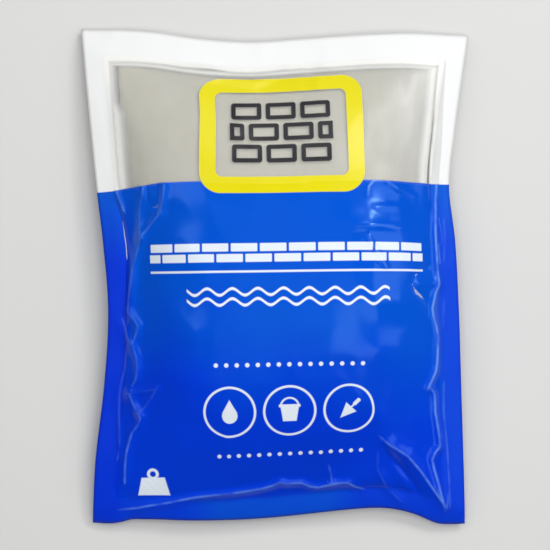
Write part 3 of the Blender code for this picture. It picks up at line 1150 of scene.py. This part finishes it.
def blended(mask, under, over):
    """A colour where a mask lays one over another. Colours are fields or RGB values."""
    mix = mask.tree.nodes.new("ShaderNodeMix")
    mix.data_type = "RGBA"
    given(mix.inputs["Factor"], mask)
    for name, colour in (("A", under), ("B", over)):
        put = next(i for i in mix.inputs if i.name == name and i.type == "RGBA")
        given(put, colour if isinstance(colour, Field) else (*colour, 1))
    return Field(mask.tree, next(o for o in mix.outputs if o.type == "RGBA"))


def painted(layers, colour):
    """A colour with others laid over it where their masks are 1."""
    for mask, over in layers:
        colour = blended(mask, colour, over)
    return colour


def painted_shade_blue(tree, x, y):
    """Painted shade on the blue: at both sides below the window, and more and more towards the foot."""
    uneven = noise_field(tree, Scale=CLOUD_WAVES) - 0.5
    left = clamped((x * -1 - SHADE_LEFT + uneven * SHADE_UNEVEN) / DEEP_FADE)
    right = clamped((x - SHADE_RIGHT + uneven * SHADE_UNEVEN) / DEEP_FADE) * SHADE_RIGHT_SHARE
    edges = left.most(right).least(clamped(y * -SHADE_TOP[1] + SHADE_TOP[0]))
    slope = y * -PATCH_SLOPES[1] - x * PATCH_SLOPES[0]
    patch = clamped(slope + uneven * PATCH_UNEVEN - PATCH_LESS) * PATCH_SHARE
    pale = clamped((y * -1 - PALE_FOOT) / PALE_FADE)
    pale = pale.least(clamped((abs(x - PALE_MIDDLE) * -1 + PALE_HALF) / PALE_ENDS))
    return edges.most(patch * (pale * -PALE_SHARE + 1))


def painted_glint(tree):
    """Where a highlight is painted along the crests, in uneven patches."""
    scale, contrast, less = GLINT_PATCHES
    patches = clamped(noise_field(tree, Scale=scale) * contrast - less)
    line = clamped(abs(mark_field(tree, "crease")) / -GLINT_LINE + (1 + GLINT_CORE))
    return line * mark_field(tree, "worn") * patches


def motif_mask(x, y):
    """Where the white motifs on the blue are."""
    heads = bricks(x, y, *HEAD_BRICKS, *HEAD_BRICK, HEAD_JOINT, HEAD_BRICK_CORNER)
    shapes = [heads, box(x, y, *RULE), weight(x, y, WEIGHT_MARK)]
    for height in WAVE_ROWS:
        shapes.append(waves(x, y, height).most(box(x, y, *WAVE_BOX)))
    for centre, sign in zip(ROUNDELS, (drop, bucket, trowel)):
        ring = band(disc(x, y, centre, ROUNDEL_RADIUS), ROUNDEL_LINE)
        shapes.append(ring.least(sign(x, y, centre)))
    for centre in DOT_ROWS:
        bx = (x - centre[0]).wrapped(-DOT_SPACING / 2, DOT_SPACING / 2)
        dot = disc(bx, y - centre[1], (0, 0), DOT_RADIUS)
        shapes.append(dot.most(abs(x - centre[0]) - DOT_ROW_HALF))
    mask = inked(shapes[0])
    for shape in shapes[1:]:
        mask = mask.most(inked(shape))
    return mask


def print_group():
    """The front film's inks: their colour, where there is any, and where the film is sealed or milky."""
    sizes = bpy.context.scene.pouch_sizes
    colours = bpy.context.scene.pouch_colours
    outputs = {"Colour": "NodeSocketColor", **dict.fromkeys(("Ink", "Seal", "Milky"), "NodeSocketFloat")}
    tree = new_group("front_print", outputs)
    x, flat_y = flat_fields(tree)
    y = flat_y - x * PRINT_SKEW
    side = sizes.flat_width / 2 - sizes.side_seal
    top = sizes.flat_length / 2 - sizes.top_seal
    low = sizes.bottom_seal - sizes.flat_length / 2
    foot = (sizes.window_foot - 0.5) * sizes.flat_length
    sag = (x * -1 - SAG_FROM).most(0) * SAG_SLOPE
    blue = inked(y - foot + sag)
    right_edge = clamped((y * -1 + NARROW_FROM) / NARROW_LENGTH) * NARROWER + side
    border = inked((x + side).least(x * -1 + right_edge).least(flat_y * -1 + top)).least(blue * -1 + 1)
    outer_corner, inner_corner = WINDOW_FRAME_CORNERS
    outer = box(x, y, *WINDOW_FRAME, outer_corner)
    inner = box(x, y, WINDOW_FRAME[0], [h - WINDOW_FRAME_LINE for h in WINDOW_FRAME[1]], inner_corner)
    yellow = inked(without(outer, inner))
    wall = bricks(x, y, *WINDOW_BRICKS, *WINDOW_BRICK, WINDOW_JOINT, WINDOW_BRICK_CORNER)
    black = inked(band(wall + WINDOW_BRICK_LINE / 2, WINDOW_BRICK_LINE))
    past_seam = (abs(x) - side).most(flat_y - top).most(flat_y * -1 + low)
    layers = (
        (inked(past_seam * -1), colours.sealed),
        (blue, colours.blue),
        # painted shade: a darker blue where the film turns from the light
        (blue.least(painted_shade_blue(tree, x, y)), colours.painted_shade_blue),
        # painted highlight: a paler blue along the fold crests
        (blue.least(painted_glint(tree)), colours.painted_glint),
        (motif_mask(x, y), colours.motifs),
        (border, colours.white),
        (yellow, colours.yellow),
        (black, colours.black),
    )
    group_out(tree, Colour=painted(layers, colours.clear), Ink=blue.most(border).most(yellow).most(black),
              Seal=clamped((past_seam + SEAL_FADE) / SEAL_FADE),
              Milky=clamped((past_seam + MILKY_FROM) / MILKY_FADE))
    return tree


def back_print_group():
    """Colour of the back film's inks: blue, with a white top and a blank label."""
    sizes = bpy.context.scene.pouch_sizes
    colours = bpy.context.scene.pouch_colours
    tree = new_group("back_print", {"Colour": "NodeSocketColor"})
    x, y = flat_fields(tree)
    foot = (sizes.window_foot - 0.5) * sizes.flat_length
    white = inked((y - foot) * -1).most(inked(box(x, y, *BACK_LABEL, BACK_LABEL_CORNER)))
    group_out(tree, Colour=painted(((white, colours.white),), colours.blue))
    return tree


def relief_group():
    """Height of a film's finest wrinkles, and where handling has dulled its gloss."""
    tree = new_group("film_relief", dict.fromkeys(("Height", "Dull"), "NodeSocketFloat"), **WRINKLES)
    put = tree.nodes.new("NodeGroupInput")
    wrinkle, scale = (Field(tree, put.outputs[name]) for name in WRINKLES)
    height = noise_field(tree, Scale=scale, **WRINKLE_NOISE) * wrinkle
    group_out(tree, Height=height, Dull=noise_field(tree, **DULL_NOISE))
    return tree


def group_fields(tree, group, **values):
    """Puts a node group in a material's tree, and returns what it puts out."""
    node = tree.nodes.new("ShaderNodeGroup")
    node.node_tree = group
    for name, value in values.items():
        node.inputs[name].default_value = value
    return {out.name: Field(tree, out) for out in node.outputs}


def blank_material(name, colour=None, **values):
    """A material with one Principled BSDF and its uniform values. Returns it, its tree and its shader."""
    material = bpy.data.materials.new(name)
    material.use_nodes = True
    shader = material.node_tree.nodes["Principled BSDF"]
    if colour is not None:
        shader.inputs["Base Color"].default_value = (*colour, 1)
    for label, value in {"Specular IOR Level": SHINE, **values}.items():
        shader.inputs[label].default_value = value
    return material, material.node_tree, shader


def bumped(shader, height):
    """Gives a shader the relief of a height in metres."""
    bump = height.tree.nodes.new("ShaderNodeBump")
    bump.inputs["Distance"].default_value = 1
    given(bump.inputs["Height"], height)
    height.tree.links.new(bump.outputs["Normal"], shader.inputs["Normal"])


def film_surface(shader, relief, roughness, sealed=None):
    """Gives a film its fine wrinkles and its uneven gloss, which is duller where a mask says so."""
    bumped(shader, relief["Height"])
    rough = relief["Dull"].mapped((0, 1), roughness)
    given(shader.inputs["Roughness"], rough + sealed * SEAL_ROUGHNESS if sealed else rough)


def front_materials(groups):
    """The front film's four finishes: printed and clear outsides, and their insides."""
    colours = bpy.context.scene.pouch_colours
    printed, tree, shader = blank_material("printed_film")
    inks = group_fields(tree, groups["front_print"])
    given(shader.inputs["Base Color"], inks["Colour"])
    shader.inputs["Specular Tint"].default_value = (*INK_GLOSS, 1)
    film_surface(shader, group_fields(tree, groups["film_relief"]), PRINT_ROUGHNESS, inks["Seal"])

    clear, tree, shader = blank_material("window_film")
    inks = group_fields(tree, groups["front_print"])
    given(shader.inputs["Base Color"], inks["Colour"])
    relief = group_fields(tree, groups["film_relief"])
    film_surface(shader, relief, WINDOW_ROUGHNESS)
    haze = relief["Dull"].mapped((0, 1), WINDOW_HAZE)
    given(shader.inputs["Alpha"], haze.most(inks["Milky"]).most(inks["Ink"]))

    inside = blank_material("film_inside", colours.lining, **INSIDE)[0]
    clear_inside = blank_material("window_inside", colours.clear, **CLEAR_INSIDE)[0]
    return printed, clear, inside, clear_inside


def back_materials(groups):
    """The back film's outside and inside."""
    printed, tree, shader = blank_material("printed_film_back")
    given(shader.inputs["Base Color"], group_fields(tree, groups["back_print"])["Colour"])
    film_surface(shader, group_fields(tree, groups["film_relief"]), PRINT_ROUGHNESS)
    return printed, bpy.data.materials["film_inside"]


def liner_materials(groups):
    """The liner's outside, thin clear film that is milky where it is slack, and its inside."""
    colours = bpy.context.scene.pouch_colours
    material, tree, shader = blank_material("liner_film", colours.clear, IOR=LINER_IOR)
    relief = group_fields(tree, groups["film_relief"], **LINER_WRINKLES)
    x, y = flat_fields(tree)
    step_from, step_over, step_by = SLACK_STEP
    haze_from, haze_over, haze_by = RIGHT_HAZE
    step = clamped((y - step_from) / step_over) * step_by
    left = clamped((x * -1 - step - SLACK_LEFT) / SIDE_FADE)
    right = clamped((x - SLACK_RIGHT) / SIDE_FADE).most(clamped((x - haze_from) / haze_over) * haze_by)
    slack = left.most(right).most(clamped((y - SLACK_TOP) / TOP_FADE))
    film_surface(shader, relief, LINER_ROUGHNESS, slack)
    given(shader.inputs["Alpha"], relief["Dull"].mapped((0, 1), LINER_HAZE) + slack * SLACK_HAZE)
    return material, bpy.data.materials["window_inside"]


def cement_material():
    """Dry grey powder with fine grains, small lumps and a soft drift of tone."""
    colour = bpy.context.scene.pouch_colours.cement
    material, tree, shader = blank_material("cement_powder", **CEMENT_SHADER)
    drift, grains = noise_field(tree, **DRIFT_NOISE), noise_field(tree, **GRAIN_NOISE)
    dark, light = ([part * tone for part in colour] for tone in TONES)
    given(shader.inputs["Base Color"], blended(drift * DRIFT_TONE + grains * GRAIN_TONE, dark, light))
    bumped(shader, grains * GRAIN_RELIEF + drift * DRIFT_RELIEF)
    return material


def coated(piece, *materials):
    """Gives a piece its materials."""
    piece.data.materials.clear()
    for material in materials:
        piece.data.materials.append(material)


def thickened(piece, thickness):
    """Gives a film its thickness, outwards. The second half of its materials are those of the inside."""
    solid = piece.modifiers.new("film", "SOLIDIFY")
    solid.thickness = thickness
    solid.offset = 1
    solid.material_offset = len(piece.data.materials) // 2


def window_cleared(piece):
    """Gives the window's faces of the front film the clear finish."""
    sizes = bpy.context.scene.pouch_sizes
    side = sizes.flat_width / 2 - sizes.side_seal
    top = sizes.flat_length / 2 - sizes.top_seal
    uv = piece.data.uv_layers["flat"].data
    clear = piece.data.materials.find("window_film")
    for face in piece.data.polygons:
        corners = [flat_place(*uv[k].uv) for k in face.loop_indices]
        x, y = (sum(values) / len(corners) for values in zip(*corners))
        if abs(x) < side and y < top and max(high for _, high in corners) > blue_edge(x) - 2 * INK_EDGE:
            face.material_index = clear


def shared_groups():
    """The node groups that several materials share, built once."""
    groups = bpy.data.node_groups
    makers = {"front_print": print_group, "back_print": back_print_group, "film_relief": relief_group}
    return {name: groups.get(name) or maker() for name, maker in makers.items()}


class CEMENTPOUCH_OT_cement(bpy.types.Operator):
    """Pour the dry powder"""

    bl_idname = "cementpouch.cement"
    bl_label = "Cement"

    def execute(self, context):
        bm = bmesh.new()
        bm.from_mesh(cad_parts["cement_fill"].data)
        bmesh.ops.remove_doubles(bm, verts=bm.verts, dist=HAIR)
        piece = settled("cement_powder", mesh_from(bm, "rough"), CEMENT_LEVELS)
        places = places_of(piece.data)
        normals = np.empty(places.size)
        piece.data.vertices.foreach_get("normal", normals)
        lumps = np.array([1 + noise.fractal(place * LUMP_WAVES, *LUMP_FRACTAL) for place in places])
        places -= normals.reshape(-1, 3) * lumps[:, None] * context.scene.pouch_sizes.lumps
        piece.data.vertices.foreach_set("co", places.ravel())
        coated(piece, cement_material())
        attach(piece, "root")
        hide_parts("cement_fill")
        return {"FINISHED"}


class CEMENTPOUCH_OT_front(bpy.types.Operator):
    """Drape and print the front film"""

    bl_idname = "cementpouch.front"
    bl_label = "Front film"

    def execute(self, context):
        sizes = context.scene.pouch_sizes
        piece = film_panel("printed_front", 1, sizes.front_cell)
        coated(piece, *front_materials(shared_groups()))
        window_cleared(piece)
        thickened(piece, sizes.film)
        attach(piece, "root")
        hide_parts("outer_bag_front")
        return {"FINISHED"}


class CEMENTPOUCH_OT_back(bpy.types.Operator):
    """Drape and print the back film"""

    bl_idname = "cementpouch.back"
    bl_label = "Back film"

    def execute(self, context):
        sizes = context.scene.pouch_sizes
        piece = film_panel("printed_back", -1, sizes.back_cell)
        coated(piece, *back_materials(shared_groups()))
        thickened(piece, sizes.film)
        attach(piece, "root")
        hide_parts("outer_bag_back")
        return {"FINISHED"}


class CEMENTPOUCH_OT_liner(bpy.types.Operator):
    """Put the clear liner between the films and the powder"""

    bl_idname = "cementpouch.liner"
    bl_label = "Liner"

    def execute(self, context):
        sizes = context.scene.pouch_sizes
        piece = settled("liner", liner_mesh(), LINER_LEVELS)
        coated(piece, *liner_materials(shared_groups()))
        thickened(piece, sizes.liner_film)
        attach(piece, "root")
        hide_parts("inner_bag")
        return {"FINISHED"}


class CEMENTPOUCH_OT_stage(bpy.types.Operator):
    """Set up the floor, the lights and the camera"""

    bl_idname = "cementpouch.stage"
    bl_label = "Stage"

    def execute(self, context):
        scene = context.scene
        floor = level_square("floor", FLOOR_HALF, 2)
        coated(floor, blank_material("pale_floor", scene.pouch_colours.floor, Roughness=FLOOR_ROUGHNESS)[0])
        for name, place, size, power, mirrored in LAMPS:
            lamp = bpy.data.lights.new(name, "AREA")
            lamp.shape = "RECTANGLE"
            lamp.size, lamp.size_y = size
            lamp.energy = power
            holder = linked(name, lamp)
            holder.location = place
            holder.rotation_euler = Vector(place).to_track_quat("Z", "Y").to_euler()
            holder.visible_glossy = mirrored
        world = bpy.data.worlds.new("studio")
        world.use_nodes = True
        world.node_tree.nodes["Background"].inputs["Color"].default_value = (1, 1, 1, 1)
        world.node_tree.nodes["Background"].inputs["Strength"].default_value = WORLD_LIGHT
        scene.world = world
        scene.view_settings.view_transform = "Standard"
        camera = bpy.data.cameras.new("camera")
        camera.lens = camera.sensor_width * (CAMERA_PLACE[2] - SEEN_HEIGHT) / SEEN_WIDTH
        holder = linked("camera", camera)
        holder.location = CAMERA_PLACE
        scene.camera = holder
        return {"FINISHED"}


class CEMENTPOUCH_PT_sidebar(bpy.types.Panel):
    """Lists the pouch's pieces"""

    bl_idname = "CEMENTPOUCH_PT_sidebar"
    bl_label = "Cement pouch"
    bl_space_type = "VIEW_3D"
    bl_region_type = "UI"
    bl_category = "Cement pouch"

    def draw(self, context):
        for group in (context.scene.pouch_sizes, context.scene.pouch_colours):
            for name in group.__annotations__:
                self.layout.prop(group, name)
        for operator in OPERATORS:
            self.layout.operator(operator.bl_idname)


GROUPS = (PouchSizes, PouchColours)
OPERATORS = (CEMENTPOUCH_OT_stage, CEMENTPOUCH_OT_cement, CEMENTPOUCH_OT_front, CEMENTPOUCH_OT_back,
             CEMENTPOUCH_OT_liner)


def register():
    for kind in (*GROUPS, *OPERATORS, CEMENTPOUCH_PT_sidebar):
        bpy.utils.register_class(kind)
    bpy.types.Scene.pouch_sizes = bpy.props.PointerProperty(type=PouchSizes)
    bpy.types.Scene.pouch_colours = bpy.props.PointerProperty(type=PouchColours)


def unregister():
    del bpy.types.Scene.pouch_colours
    del bpy.types.Scene.pouch_sizes
    for kind in (CEMENTPOUCH_PT_sidebar, *reversed(OPERATORS), *reversed(GROUPS)):
        bpy.utils.unregister_class(kind)


def main():
    register()
    bpy.ops.cementpouch.stage()
    bpy.ops.cementpouch.cement()
    bpy.ops.cementpouch.front()
    bpy.ops.cementpouch.back()
    bpy.ops.cementpouch.liner()


if __name__ == "__main__":
    main()
